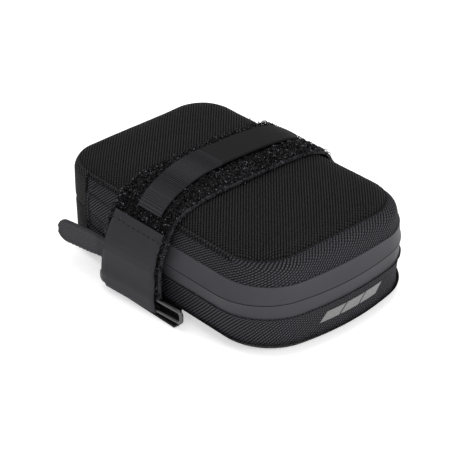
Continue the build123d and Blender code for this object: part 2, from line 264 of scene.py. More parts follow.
# woven: angle, pitch, bead, dark, light, relief; smooth: dark, light, roughness, its change, relief
look = {
    "gusset": wovenFinish("gussetWeave", "UV", 47, 1.25, 1.35, cool(0.002), cool(0.078), 0.36),
    "top": wovenFinish("topTwill", "Object", -43, 1.28, 1.15, grey(0.001), grey(0.034), 0.42),
    "bottom": wovenFinish("bottomWeave", "Object", 30, 1.5, 1.6, grey(0.003), grey(0.045), 0.35),
    "spine": wovenFinish("spineWeave", "UV", 47, 1.25, 1.35, grey(0.002), grey(0.050), 0.36),
    "tape": smoothFinish("coatedTape", "UV", cool(0.034), cool(0.053), 0.5, 0.12, 0.03, gloss=0.12),
    "panel": smoothFinish("smoothStrap", "UV", cool(0.020), cool(0.034), 0.55, 0.1, 0.025, gloss=0.1),
    "tab": smoothFinish("hookTab", "UV", grey(0.006), grey(0.014), 0.6, 0.12, 0.03, gloss=0.06),
    "patch": smoothFinish("hookPatch", "Object", grey(0.01), grey(0.03), 0.6, 0.1, 0.2, 1.2),
    "ribbed": webFinish("ribbedWebbing", cool(0.0005), cool(0.034), 1.0),
    "webbing": webFinish("flatWebbing", grey(0.004), grey(0.020), 1.6),
    "lining": wovenFinish("liningCloth", "UV", 0, 0.7, 0.7, grey(0.035), grey(0.075), 0.08, 0.7),
    "binding": webFinish("seamBinding", grey(0.012), grey(0.028), 0.9),
    "foam": smoothFinish("foamBoard", "Object", grey(0.05), grey(0.09), 0.8, 0.1, 0.15, 1.4),
    "thread": smoothFinish("seamThread", "Object", grey(0.012), grey(0.03), 0.55, 0.1, 0.05, 4.0),
    # near-black thread for seam lines that paint the shade along the seams
    "shadeLineThread": smoothFinish("paintedShadeThread", "Object", grey(0.006), grey(0.016), 0.55, 0.1, 0.05, 4.0),
    "darkThread": smoothFinish("hookThread", "Object", grey(0.001), grey(0.004), 0.55, 0.1, 0.05, 4.0),
    "coil": smoothFinish("zipCoil", "Object", grey(0.014), grey(0.03), 0.4, 0.1, 0.05, 2.0),
    "pile": pileFinish("loopPile", 1.1, 0.16),
    # the strap's face under the loops is painted near black: painted shade among the loops
    "paintedShadeGround": pileFinish("pileGroundPaintedShade", 2.6, 0.025),
    "rubber": rubberFinish(),
    "film": filmFinish(),
    "slider": metalFinish("darkMetal", 0.05, 0.38),
    "ring": metalFinish("ringMetal", 0.10, 0.32),
}
print("finishes made:", len(look))


lightSetup = {"world": 0.5, "glow": 0.45, "floorHalf": 3.0, "floorDrop": 0.0003, "areas": [
    ("overhead", (0.1, 0.25, 0.95), (0, 0, 0.02), 0.9, 5.0),
    ("frontLeft", (-0.8, -0.5, 0.55), (0, 0, 0.02), 0.5, 2.5),
    ("frontRight", (0.16, -0.95, 0.5), (0, 0, 0.02), 0.5, 4.55)]}  # place, aim, size, power


def addStage():
    half = lightSetup["floorHalf"]
    mesh = bpy.data.meshes.new("floor")
    corners = [(x * half, y * half, -lightSetup["floorDrop"]) for x, y in ((-1, -1), (1, -1), (1, 1), (-1, 1))]
    mesh.from_pydata(corners, [], [(0, 1, 2, 3)])
    floor = bpy.data.objects.new("floor", mesh)
    bpy.context.scene.collection.objects.link(floor)
    finish = Finish("paleFloor", Roughness=0.9, Emission_Color=(1, 1, 1, 1), Emission_Strength=lightSetup["glow"])
    finish.feed("Base Color", finish.mix(finish.noise(finish.place(), 0.004), grey(0.86), grey(0.9)))
    mesh.materials.append(finish.material)
    world = bpy.data.worlds.new("studio")
    world.use_nodes = True
    sky = world.node_tree.nodes["Background"]
    sky.inputs[0].default_value, sky.inputs[1].default_value = (1, 1, 1, 1), lightSetup["world"]
    bpy.context.scene.world = world
    bpy.context.scene.view_settings.view_transform = "Standard"
    for name, spot, aim, size, power in lightSetup["areas"]:
        data = bpy.data.lights.new(name, "AREA")
        data.size, data.energy = size, power
        lamp = bpy.data.objects.new(name, data)
        lamp.location = spot
        lamp.rotation_euler = (Vector(aim) - Vector(spot)).to_track_quat("-Z", "Y").to_euler()
        bpy.context.scene.collection.objects.link(lamp)


addStage()
print("stage set")

# the bag's outline, level by level: height, half width, nose, corner radius and the front's bow
bag = {"back": 75.8, "waist": 48.6, "spineCorner": 18.5, "straight": 15.0, "spineStart": 55.0, "tapeStart": 22.0,
       "parting": 26.9, "zipGap": 0.22, "wall": 1.6, "tapeWall": 1.2, "coverWall": 1.5, "lowerPuff": 0.45, "step": 2.2,
       "levels": [(4.1, 50.4, 75.8, 28, 10), (19.3, 52.9, 75.4, 30, 8.2), (26.9, 54, 75.8, 30, 11),
                  (36, 51.1, 74.2, 27, 5.7), (43.9, 48.3, 71.4, 22, 1), (46, 46.6, 64.4, 20.4, 0.6)]}
levels = np.array(bag["levels"], float)
waistY = bag["back"] - bag["spineCorner"]


def levelAt(t):
    if t <= 3:
        low = min(int(t), 2)
        return levels[low] + (levels[low + 1] - levels[low]) * (t - low)
    low = 3 if t < 4 else 4
    s = t - low
    before = 2 * levels[3] - levels[4] if low == 3 else levels[3]
    after = levels[5] if low == 3 else 2 * levels[5] - levels[4]
    a, b = levels[low], levels[low + 1]
    return 0.5 * (2 * a + (b - before) * s + (2 * before - 5 * a + 4 * b - after) * s ** 2
                  + (3 * a - before - 3 * b + after) * s ** 3)


def heightShare(height):
    low = int(np.clip(np.searchsorted(levels[:, 0], height) - 1, 0, 4))
    return low, (height - levels[low, 0]) / (levels[low + 1, 0] - levels[low, 0])


def levelFor(height):
    low, share = heightShare(height)
    return levels[low] + (levels[low + 1] - levels[low]) * share


def halfTrace(level, inset, start, end="nose"):
    height, half, nose, corner, bow = level
    side, narrow, turn = half - inset, min(bag["waist"], half) - inset, bag["spineCorner"] - inset
    back, tip, bend = bag["back"] - inset, -nose + inset, corner - inset
    radius = (side ** 2 + bow ** 2) / (2 * bow)
    centre = tip + radius
    filletY = centre - math.sqrt((radius - bend) ** 2 - (side - bend) ** 2)
    phi = math.atan2(side - bend, centre - filletY)

    def drawn(y):
        drop = side - narrow
        if drop < 0.01:
            return side
        big = ((waistY - bag["straight"]) ** 2 + drop ** 2) / (2 * drop)
        return side - big + math.sqrt(big ** 2 - (y - bag["straight"]) ** 2)

    points = []
    if start == "spine":
        points += [(x, back) for x in np.linspace(0, narrow - turn, 9)[:-1]]
        points += [(narrow - turn + turn * math.sin(a), waistY + turn * math.cos(a))
                   for a in np.linspace(0, math.pi / 2, 15)]
        if end != "nose":
            points += [(drawn(y), y) for y in np.linspace(waistY, end, 3)[1:]]
            return np.array(points)
        start = waistY - 0.5
    last = bag["straight"] if end == "nose" else end
    points += [(drawn(y), y) for y in np.linspace(start, last, max(3, int(abs(start - last) / bag["step"])))]
    if end == "nose":
        points += [(side, y) for y in np.linspace(bag["straight"], filletY, 30)[1:-1]]
        points += [(side - bend + bend * math.cos(a), filletY + bend * math.sin(a))
                   for a in np.linspace(0, phi - math.pi / 2, 22)]
        points += [(radius * math.sin(a), centre - radius * math.cos(a)) for a in np.linspace(phi, 0, 20)[1:]]
    return np.array(points)


def trace(level, inset, start="spine", end="nose"):
    right = halfTrace(level, inset, start, end)
    left = right * (-1, 1)
    if start == "spine" and end != "nose":
        return np.vstack([right[::-1], left[1:]])  # round the spine
    if start == "spine":
        return np.vstack([right, left[::-1][1:-1]])  # the whole way round
    return np.vstack([right, left[::-1][1:]])  # round the nose


def sideNormals(path, closed):
    ahead = np.roll(path, -1, 0) - np.roll(path, 1, 0)
    if not closed:
        ahead[0], ahead[-1] = path[1] - path[0], path[-1] - path[-2]
    length = np.linalg.norm(ahead, axis=1, keepdims=True)
    return np.stack([ahead[:, 1], -ahead[:, 0]], 1) / np.maximum(length, 1e-9)


def makePiece(name, points, faces, material, uv=None, sharp=50, weld=0.0):
    mesh = bpy.data.meshes.new(name)
    mesh.from_pydata((np.asarray(points, float) * mm).tolist(), [], faces)
    if uv is not None:
        layer = mesh.uv_layers.new(name="weave")
        corner = np.zeros(len(mesh.loops), int)
        mesh.loops.foreach_get("vertex_index", corner)
        layer.data.foreach_set("uv", (np.asarray(uv, float) * mm)[corner].ravel())
    work = bmesh.new()
    work.from_mesh(mesh)
    if weld:
        bmesh.ops.remove_doubles(work, verts=work.verts, dist=weld * mm)
        bmesh.ops.dissolve_degenerate(work, edges=work.edges, dist=weld * mm * 0.5)
    bmesh.ops.recalc_face_normals(work, faces=work.faces)
    work.to_mesh(mesh)
    work.free()
    mesh.polygons.foreach_set("use_smooth", [True] * len(mesh.polygons))
    mesh.set_sharp_from_angle(angle=math.radians(sharp))
    mesh.materials.append(material)
    piece = bpy.data.objects.new(name, mesh)
    bpy.context.scene.collection.objects.link(piece)
    return piece


def gridFaces(rows, columns, wrapRows=False, wrapColumns=False, first=0):
    faces = []
    for r in range(rows if wrapRows else rows - 1):
        for c in range(columns if wrapColumns else columns - 1):
            here, above = first + r * columns, first + (r + 1) % rows * columns
            across = (c + 1) % columns
            faces.append((here + c, here + across, above + across, above + c))
    return faces


def capped(rows, columns):
    ends = [tuple(r * columns for r in range(rows)),
            tuple(r * columns + columns - 1 for r in reversed(range(rows)))]
    return gridFaces(rows, columns, wrapRows=True) + ends


def rides(piece, body, slotName, *replaced):
    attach(piece, body)
    if replaced:
        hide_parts(*replaced)
    return piece


def rowUV(rows):
    middle = rows[len(rows) // 2][:, :2]
    u = np.concatenate([[0], np.cumsum(np.linalg.norm(np.diff(middle, axis=0), axis=1))])
    u -= u[-1] / 2
    v = np.zeros(len(middle))
    uv = []
    for index, row in enumerate(rows):
        if index:
            v = v + np.median(np.linalg.norm(row - rows[index - 1], axis=1))
        uv.append(np.stack([u, v], 1))
    return np.vstack(uv)


def atHeight(path, height):
    return np.column_stack([path, np.full(len(path), height)])


def addWall(name, material, tLow, tHigh, count, thick, start, end="nose",
            puff=0.0, pucker=0.0, lip=0.0, groove=0.0, tuck=0.0, dip=0.0):
    outer, inner = [], []
    for t in np.linspace(tLow, tHigh, count):
        share = (t - tLow) / (tHigh - tLow)
        level = levelAt(t)
        path = trace(level, 0.0, start, end)
        out = puff * math.sin(math.pi * share) ** 0.7 + lip * math.exp(-share * 9)
        out -= groove * math.exp(-((level[0] - bag["parting"]) / 1.2) ** 2) + tuck * math.exp(-(1 - share) * 20)
        around = np.arange(len(path))
        ripple = pucker * (np.sin(around * 0.83) + 0.7 * np.sin(around * 1.71 + 1.0)) * (
            math.exp(-share * 5) + math.exp(-(1 - share) * 5))
        moved = path + sideNormals(path, False) * (out + ripple)[:, None]
        height = level[0] - dip * math.exp(-(1 - share) * 16)
        outer.append(atHeight(moved, height))
        inner.append(atHeight(trace(level, thick, start, end), height))
    rows = outer + inner[::-1]
    return makePiece(name, np.vstack(rows), capped(len(rows), len(rows[0])), material, rowUV(rows))


# finish, body, slot, replaced part, levels and rows between them, wall, start, then how far it swells and pulls in
lowZip, highZip = (sum(heightShare(bag["parting"] + way * bag["zipGap"])) for way in (-1, 1))
walls = {
    "lowerGusset": ("gusset", "base", "body_fabric", "lower_gusset", (0, 1, 12), bag["wall"], bag["spineStart"],
                    {"puff": bag["lowerPuff"], "pucker": 0.1, "tuck": 0.55}),
    "lowerZipTape": ("tape", "base", "zip_tape", "lower_zip_tape", (1, lowZip, 8), bag["tapeWall"], bag["tapeStart"],
                     {"puff": 0.35, "lip": 0.3}),
    "upperZipTape": ("tape", "lid", "zip_tape", "upper_zip_tape", (highZip, 3, 8), bag["tapeWall"], bag["tapeStart"],
                     {"puff": 0.3}),
    "upperGusset": ("gusset", "lid", "body_fabric", "upper_gusset", (3, 5, 20), bag["wall"], bag["spineStart"],
                    {"puff": 1.1, "pucker": 0.12, "lip": 0.5, "dip": 1.0}),
}
for name, (finish, body, slotName, part, rows, thick, start, shape) in walls.items():
    rides(addWall(name, look[finish], *rows, thick, start, **shape), body, slotName, part)


def addCovers(name, tLow, tHigh, count=8, puff=0.35, apart=110):
    start, end, thick = bag["spineStart"], bag["tapeStart"] + 0.1, bag["coverWall"]
    points, faces, uv = [], [], []
    for way in (1, -1):
        outer, inner = [], []
        for t in np.linspace(tLow, tHigh, count):
            share = (t - tLow) / (tHigh - tLow)
            level = levelAt(t)
            out = puff * math.sin(math.pi * share) ** 0.7
            outer.append([(way * (x + out), y, level[0]) for x, y in halfTrace(level, 0.0, start, end)])
            inner.append([(way * x, y, level[0]) for x, y in halfTrace(level, thick, start, end)])
        rows = [np.array(r) for r in outer + inner[::-1]]
        first = sum(len(p) for p in points)
        columns = len(rows[0])
        faces += [tuple(first + i for i in face) for face in capped(len(rows), columns)]
        uv.append(rowUV(rows) * (way, 1) + (way * apart, 0))
        points.append(np.vstack(rows))
    return makePiece(name, np.vstack(points), faces, look["gusset"], np.vstack(uv))


rides(addCovers("lowerZipCover", 1, lowZip), "base", "body_fabric")
rides(addCovers("upperZipCover", highZip, 3), "lid", "body_fabric")

spineCover = addWall("spineCover", look["spine"], 0, 5, 60, bag["wall"], "spine", bag["spineStart"] + 0.15,
                     puff=0.5, pucker=0.06, groove=0.7)
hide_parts("spine_lower", "spine_upper")
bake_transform(spineCover)
print("walls made")

# crowned top and bevelled bottom, both drawn in to the bag's middle line
panel = {"front": -34.0, "rear": 40.0, "rows": 26, "underRows": 10, "thick": 1.4, "seam": 46.0, "crown": 5.3,
         "crownRun": 5.2, "shoulderDroop": 0.6, "strapMiddle": 8.3, "strapReach": 17.0, "swell": 0.9, "dent": 0.35,
         "pucker": 0.14, "seamDip": 1.1, "bevel": 4.1, "bevelRun": 7.0, "bevelPower": 1.5, "channel": 2.0,
         "channelHalf": 20.3}


def smooth(share):
    return share * share * (3 - 2 * share)


def panelRows(level, heightOf):
    rim, thick = trace(level, 0.0), panel["thick"]
    normals = sideNormals(rim, True)
    core = np.column_stack([np.zeros(len(rim)), np.clip(rim[:, 1], panel["front"], panel["rear"])])
    reach = np.linalg.norm(rim - core, axis=1)
    side = np.sign(level[0] - bag["parting"])
    top, under = [], []
    for s in np.linspace(0, 1, panel["rows"]) ** 1.6:
        flat = rim + (core - rim) * s
        top.append(np.column_stack([flat, heightOf(flat, reach * s, np.arange(len(rim)))]))
    for s in np.linspace(1, 0, panel["underRows"]):
        flat = rim + (core - rim) * s
        inner = flat - normals * thick * (1 - s)
        under.append(np.column_stack([inner, heightOf(flat, reach * s, np.arange(len(rim))) - side * thick]))
    return under + top


def crownHeight(flat, depth, around):
    x, y = flat.T
    sunk = smooth(np.clip((-6 - x) / 36, 0, 1) * np.clip((y - 36) / 30, 0, 1))  # the rear left shoulder droops
    rise = panel["crown"] * (1 - np.exp(-depth / panel["crownRun"])) * (1 - panel["shoulderDroop"] * sunk)
    strapDip = np.exp(-((y - panel["strapMiddle"]) / panel["strapReach"]) ** 4)
    swell = panel["swell"] * (1 - strapDip) * np.clip(depth / 25, 0, 1)
    dent = panel["dent"] * strapDip * np.clip(depth / 10, 0, 1)
    ripple = np.sin(around * 0.9) + 0.6 * np.sin(around * 2.1 + 0.5)
    pucker = panel["pucker"] * np.exp(-depth / 2.5) * ripple * np.clip(depth / 0.8, 0, 1)
    return panel["seam"] + rise + swell - dent + pucker - panel["seamDip"] * np.exp(-depth / 0.7)


def bottomHeight(flat, depth, around):
    power = panel["bevelPower"]
    rounding = 1 - (1 - (1 - np.clip(depth / panel["bevelRun"], 0, 1)) ** power) ** (1 / power)
    channel = np.clip(panel["channelHalf"] - np.abs(flat[:, 1] - panel["strapMiddle"]), 0, 1)  # for the webbing
    return np.maximum(panel["bevel"] * rounding, panel["channel"] * channel) + 0.02


def addPanel(name, material, level, heightOf):
    rings = panelRows(level, heightOf)
    faces = gridFaces(len(rings), len(rings[0]), wrapColumns=True)
    return makePiece(name, np.vstack(rings), faces, material, weld=0.02, sharp=60)


topPanel = addPanel("topPanel", look["top"], levels[5], crownHeight)
rides(topPanel, "lid", "panel_fabric", "top_panel")
bottomPanel = addPanel("bottomPanel", look["bottom"], levels[0], bottomHeight)
rides(bottomPanel, "base", "body_fabric", "bottom_panel")
print("panels made")


# geometry-node tools for what repeats
def nodeTool(name, material, inputs):
    tree = bpy.data.node_groups.new(name, "GeometryNodeTree")
    tree.interface.new_socket("Geometry", in_out="INPUT", socket_type="NodeSocketGeometry")
    kinds = {int: "NodeSocketInt", float: "NodeSocketFloat", tuple: "NodeSocketVector"}
    for key, value in inputs.items():
        tree.interface.new_socket(key, in_out="INPUT", socket_type=kinds[type(value)])
    tree.interface.new_socket("Geometry", in_out="OUTPUT", socket_type="NodeSocketGeometry")
    start, finish = tree.nodes.new("NodeGroupInput"), tree.nodes.new("NodeGroupOutput")

    def node(kind, settings=None, sockets=None):
        made = tree.nodes.new(kind)
        for key, value in (settings or {}).items():
            setattr(made, key, value)
        for key, value in (sockets or {}).items():
            if isinstance(value, bpy.types.NodeSocket):
                tree.links.new(value, made.inputs[key])
            else:
                made.inputs[key].default_value = value
        return made

    def close(geometry):
        solid = node("GeometryNodeRealizeInstances", None, {0: geometry})
        painted = node("GeometryNodeSetMaterial", None, {0: solid.outputs[0], "Material": material})
        tree.links.new(painted.outputs[0], finish.inputs[0])

    return tree, start, node, close


# sums and stored values inside those tools
def maths(node, operation, *values):
    return node("ShaderNodeMath", {"operation": operation}, dict(enumerate(values))).outputs[0]


def named(node, key):
    return node("GeometryNodeInputNamedAttribute", {"data_type": "FLOAT"}, {"Name": key}).outputs[0]


def stitchTool(material):
    tree, start, node, close = nodeTool("stitchLine", material, {"Pitch": 1.0, "Size": (1.0, 1.0, 1.0)})
    path = node("GeometryNodeMeshToCurve", None, {0: start.outputs["Geometry"]})
    spaced = node("GeometryNodeResampleCurve", {"mode": "LENGTH"},
                  {"Curve": path.outputs[0], "Length": start.outputs["Pitch"]})
    along = node("GeometryNodeInputTangent")
    turned = node("FunctionNodeAlignRotationToVector", {"axis": "X"}, {"Vector": along.outputs[0]})
    bead = node("GeometryNodeMeshUVSphere", None, {"Segments": 6, "Rings": 4, "Radius": 0.5})
    spots = node("GeometryNodeInstanceOnPoints", None, {
        "Points": spaced.outputs[0], "Instance": bead.outputs[0],
        "Rotation": turned.outputs[0], "Scale": start.outputs["Size"]})
    close(spots.outputs[0])
    return tree


def bake(name, source, tree, values, material):
    tool = source.modifiers.new(tree.name, "NODES")
    tool.node_group = tree
    for item in tree.interface.items_tree:
        if item.in_out == "INPUT" and item.name in values:
            tool[item.identifier] = values[item.name]
    ready = source.evaluated_get(bpy.context.evaluated_depsgraph_get())
    mesh = bpy.data.meshes.new_from_object(ready)
    source.modifiers.clear()
    bpy.data.objects.remove(source)
    mesh.name = name
    mesh.materials.clear()
    mesh.materials.append(material)
    mesh.polygons.foreach_set("use_smooth", [True] * len(mesh.polygons))
    piece = bpy.data.objects.new(name, mesh)
    bpy.context.scene.collection.objects.link(piece)
    return piece


def lineObject(paths):
    points, edges = [], []
    for path in paths:
        first = len(points)
        points += [tuple(p) for p in np.asarray(path, float) * mm]
        edges += [(first + i, first + i + 1) for i in range(len(path) - 1)]
    mesh = bpy.data.meshes.new("line")
    mesh.from_pydata(points, edges, [])
    line = bpy.data.objects.new("line", mesh)
    bpy.context.scene.collection.objects.link(line)
    return line


# spacing, then each stitch's length, width and height
stitches = {"lower": (2.3, (1.7, 0.34, 0.34)), "upper": (0.8, (1.15, 0.42, 0.42)), "end": (0.62, (0.9, 0.55, 0.55)),
            "hook": (3.2, (2.5, 0.6, 0.36)), "coil": (1.3, (0.75, 1.5, 1.35))}


def addStitches(name, paths, kind, material, body, slotName, *replaced):
    pitch, size = stitches[kind]
    values = {"Pitch": pitch * mm, "Size": tuple(v * mm for v in size)}
    rides(bake(name, lineObject(paths), stitchTool(material), values, material), body, slotName, *replaced)


def seamPath(t, out, start=None, end="nose", lift=0.0):
    whole = end == "round"
    path = trace(levelAt(t), 0.0, start or bag["spineStart"], "nose" if whole else end)
    path = np.vstack([path, path[:1]]) if whole else path
    moved = path + sideNormals(path, False) * out
    return atHeight(moved, levelAt(t)[0] + lift)


addStitches("lowerSeamStitches", [seamPath(0.955, 0.32), seamPath(0.07, 0.1)], "lower", look["thread"],
            "base", "binding")
# the top seam is an unbroken line of close near-black stitches: painted shade along the seam's crease
addStitches("upperSeamShadeLine", [seamPath(4.96, -0.05, "spine", "round", lift=-0.12)], "upper", look["shadeLineThread"],
            "lid", "binding")
endSeam = {"arc": ((4, 51.5), (19.5, 52), (32, 53), (38, 51), (42, 48), (46, 43)),  # height, place along the side
           "from": 57.0, "out": 0.55, "outAbove": 0.45, "steps": 24}


def endSeamPath(way, tLow, tHigh):
    run = []
    for t in np.linspace(tLow, tHigh, endSeam["steps"]):
        level = levelAt(t)
        y = float(np.interp(level[0], *zip(*endSeam["arc"])))
        x = halfTrace(level, 0.0, endSeam["from"], y)[-1][0] + endSeam["out"] + endSeam["outAbove"] * (t > 3)
        run.append((way * x, y, level[0]))
    return run


# the end seams are the real seams, drawn as continuous dark lines of close stitches that also paint the shade along
# them
for label, body, tLow, tHigh in (("lower", "base", 0.05, 1.94), ("upper", "lid", 2.05, 4.9)):
    seams = [endSeamPath(way, tLow, tHigh) for way in (-1, 1)]
    addStitches(label + "EndSeamShadeLine", seams, "end", look["shadeLineThread"], body, "binding")
print("stitches made")


# linings, bindings and coils follow the same outline further in
# belts: finish, lower and upper edge, inset, thickness, rows, body, slot, replaced part; boards: level, faces
inner = {
    "belts": {
        "lowerLining": ("lining", 6.3, 24.6, 4.3, 0.5, 6, "base", "lining_fabric", "lower_lining"),
        "upperLining": ("lining", 29.2, 42.6, 4.3, 0.5, 6, "lid", "lining_fabric", "upper_lining"),
        "lowerBinding": ("binding", 4.3, 6.1, 1.8, 1.1, 4, "base", "binding", "lower_seam_binding"),
        "upperBinding": ("binding", 44.1, 45.7, 2.2, 1.1, 4, "lid", "binding", "upper_seam_binding")},
    "coilInset": 2.0, "coilStart": 48.0, "lowerCoil": 25.9, "upperCoil": 27.9,
    "boards": {
        "bottomBoard": (0, 4.2, 5.7, "base", "bottom_stiffener"),
        "topBoard": (5, 43.3, 44.8, "lid", "top_stiffener")},
    "boardInset": 4.9, "boardEdge": (0.6, 0.4),
}


def addBelt(name, material, low, high, inset, thick, count):
    rows = [atHeight(trace(levelFor(height), inset), height) for height in np.linspace(low, high, count)]
    rows += [atHeight(trace(levelFor(height), inset + thick), height) for height in np.linspace(high, low, count)]
    faces = gridFaces(len(rows), len(rows[0]), wrapRows=True, wrapColumns=True)
    return makePiece(name, np.vstack(rows), faces, material, rowUV(rows))


def coilPath(height):
    return atHeight(trace(levelFor(height), inner["coilInset"], inner["coilStart"]), height)


def addBoard(name, level, low, high):
    inset, (edgeIn, edgeUp) = inner["boardInset"], inner["boardEdge"]
    rows = [atHeight(trace(level, inset + depth), height)
            for depth, height in ((edgeIn, low), (0, low + edgeUp), (0, high - edgeUp), (edgeIn, high))]
    columns = len(rows[0])
    faces = gridFaces(4, columns, wrapColumns=True) + [tuple(range(columns)), tuple(range(3 * columns, 4 * columns))]
    return makePiece(name, np.vstack(rows), faces, look["foam"], sharp=70)


for name, (finish, low, high, inset, thick, count, body, slotName, part) in inner["belts"].items():
    rides(addBelt(name, look[finish], low, high, inset, thick, count), body, slotName, part)
for name, body, part in (("lowerCoil", "base", "lower_zip_coil"), ("upperCoil", "lid", "upper_zip_coil")):
    addStitches(name, [coilPath(inner[name])], "coil", look["coil"], body, "zip_coil", part)
for name, (index, low, high, body, part) in inner["boards"].items():
    board = addBoard(name, levels[index], low, high)
    rides(board, body, "foam", part)
print("inner pieces made")

# straps: a smoothed line in the XZ plane, swept across
strap = {"front": -10.7, "back": 27.3, "left": 57.8, "right": 55.2, "splay": 2.3, "dropBottom": 10.9, "thick": 1.1,
         "knee": 28.0, "rightKnee": 32.0, "shoulder": (50.6, 42.9), "count": 180}
crownLine = [(-46.6, 47.5), (-38.0, 50.7), (-23.0, 52.3), (23.0, 52.3), (38.0, 50.7), (46.6, 47.5)]


def dropFace(y):
    return -strap["left"] - strap["splay"] * (y - strap["front"]) / (strap["back"] - strap["front"])


def strapLine(y):
    left, right, low, (x, z) = dropFace(y), strap["right"], strap["dropBottom"], strap["shoulder"]
    over = [(-x, z)] + crownLine + [(x, z)]
    return [(left, low), (left, strap["knee"])] + over + [(right, strap["rightKnee"]), (right, low)]


def rounded(points, rounds=2, count=160):
    line = np.array(points, float)
    for _ in range(rounds):
        cut = np.empty((2 * len(line), 2))
        cut[0], cut[-1] = line[0], line[-1]
        cut[1:-1:2] = line[:-1] * 0.75 + line[1:] * 0.25
        cut[2:-1:2] = line[:-1] * 0.25 + line[1:] * 0.75
        line = cut
    length = np.concatenate([[0], np.cumsum(np.linalg.norm(np.diff(line, axis=0), axis=1))])
    where = np.linspace(0, length[-1], count)
    return np.column_stack([np.interp(where, length, side) for side in line.T]), where


def lineNormals(line):
    ahead = np.gradient(line, axis=0)
    ahead /= np.linalg.norm(ahead, axis=1, keepdims=True)
    return np.column_stack([-ahead[:, 1], ahead[:, 0]])


def sweepBand(name, material, lineOf, ys, thick, gapUnder, count, edge=None, shift=None):
    # a closed band: upper rows, then lower rows back; its thickness varies along and across
    upper, lower, uvUpper = [], [], []
    for y in ys:
        line, where = rounded(lineOf(y), count=count)
        out = lineNormals(line)
        share = (y - ys[0]) / (ys[-1] - ys[0])
        lift = (shift(where, share) if shift else 0.0) + np.zeros(count)
        across = edge(line, y, share) if edge else np.full(count, y)
        base = line + out * (gapUnder + lift)[:, None]
        face = line + out * (gapUnder + lift + thick(where, share))[:, None]
        lower.append(np.column_stack([base[:, 0], across, base[:, 1]]))
        upper.append(np.column_stack([face[:, 0], across, face[:, 1]]))
        uvUpper.append(np.column_stack([where, np.full(count, y)]))
    rows = upper + lower[::-1]
    uv = np.vstack(uvUpper + uvUpper[::-1])
    return makePiece(name, np.vstack(rows), capped(len(rows), count), material, uv)


def acrossRows(low, high, count, edge=0.35):
    inner = np.linspace(low + edge, high - edge, count)
    return np.concatenate([[low], inner, [high]])


def edgeThin(full, edgeThick):
    def thickness(where, share):
        near = min(share, 1 - share)
        return np.full(len(where), full if near > 0.004 else edgeThick)
    return thickness


def frontCurl(where, share):
    wave = 0.25 * np.sin(where * 0.21) + 0.15 * np.sin(where * 0.47 + 1)
    return 0.3 + (0.35 + 0.35 * wave) * max(0.0, 1 - share * 7) + 0.25 * wave * max(0.0, share * 7 - 6)


strapRows = acrossRows(strap["front"], strap["back"], 20)
# the strap's face wears the dark ground: painted shade under the loops
loopStrap = sweepBand("loopStrap", look["paintedShadeGround"], strapLine, strapRows, edgeThin(strap["thick"], 0.5), 0.0,
                      strap["count"], shift=frontCurl)
rides(loopStrap, "lid", "loop_pile", "loop_strap")

selvedgeRows = strap["front"] + np.array([-0.35, -0.2, 0.25, 0.4])
selvedge = sweepBand("strapSelvedge", look["panel"], strapLine, selvedgeRows, edgeThin(1.3, 1.3), 0.0, strap["count"],
                     shift=lambda where, share: frontCurl(where, 0.0) - 0.1)
rides(selvedge, "lid", "loop_pile")

# the loops themselves, standing off the strap's face and edges, short where the band or the hook end lies on them
pile = {"Density": 0.62e6, "Loop": 0.00118, "Thread": 0.0002, "Seed": 7}
pileArea = {"band": (4.0, 23.0), "bandEnds": (-48.9, 46.5), "bandLow": 44, "lean": 7.5, "leanFrom": -10.0,
            "leanRun": 38.4, "hook": (-8.6, 25.7), "hookIn": -47, "hookTop": 38.5, "bareFrom": 25.0, "bareTop": 30.0,
            "shaggyFrom": 34.0}
pileAmount = {"none": (0.0, 0.0), "open": (1.0, 1.0), "short": (0.8, 0.28),  # share of the loops, then their size
              "frontEdge": (0.55, 1.0), "backEdge": (2.2, 1.3)}


def pileTool(material):
    tree, start, node, close = nodeTool("loopPile", material, {"Density": 1.0, "Loop": 1.0, "Thread": 1.0, "Seed": 1})
    amount = maths(node, "MULTIPLY", start.outputs["Density"], named(node, "pileMask"))
    spots = node("GeometryNodeDistributePointsOnFaces", None, {
        "Mesh": start.outputs["Geometry"], "Density": amount, "Seed": start.outputs["Seed"]})
    arc = node("GeometryNodeCurveArc", None, {
        "Resolution": 7, "Radius": start.outputs["Loop"], "Start Angle": -1.0, "Sweep Angle": 4.9})
    ring = node("GeometryNodeCurvePrimitiveCircle", None, {"Resolution": 3, "Radius": start.outputs["Thread"]})
    loop = node("GeometryNodeCurveToMesh", None, {
        "Curve": arc.outputs[0], "Profile Curve": ring.outputs[0], "Fill Caps": True})
    upright = node("GeometryNodeTransform", None, {"Geometry": loop.outputs[0], "Rotation": (1.35, 0, 0)})
    spin = node("FunctionNodeRandomValue", {"data_type": "FLOAT_VECTOR"}, {
        0: (-0.7, -0.7, -3.14), 1: (0.7, 0.7, 3.14), "Seed": 3})
    turned = node("FunctionNodeRotateRotation", {"rotation_space": "LOCAL"},
                  {"Rotation": spots.outputs["Rotation"], "Rotate By": spin.outputs[0]})
    chance = node("FunctionNodeRandomValue", {"data_type": "FLOAT"}, {2: 0.65, 3: 1.35, "Seed": 5})
    size = maths(node, "MULTIPLY", chance.outputs[1], named(node, "pileSize"))
    placed = node("GeometryNodeInstanceOnPoints", None, {
        "Points": spots.outputs["Points"], "Instance": upright.outputs[0],
        "Rotation": turned.outputs[0], "Scale": size})
    close(placed.outputs[0])
    return tree


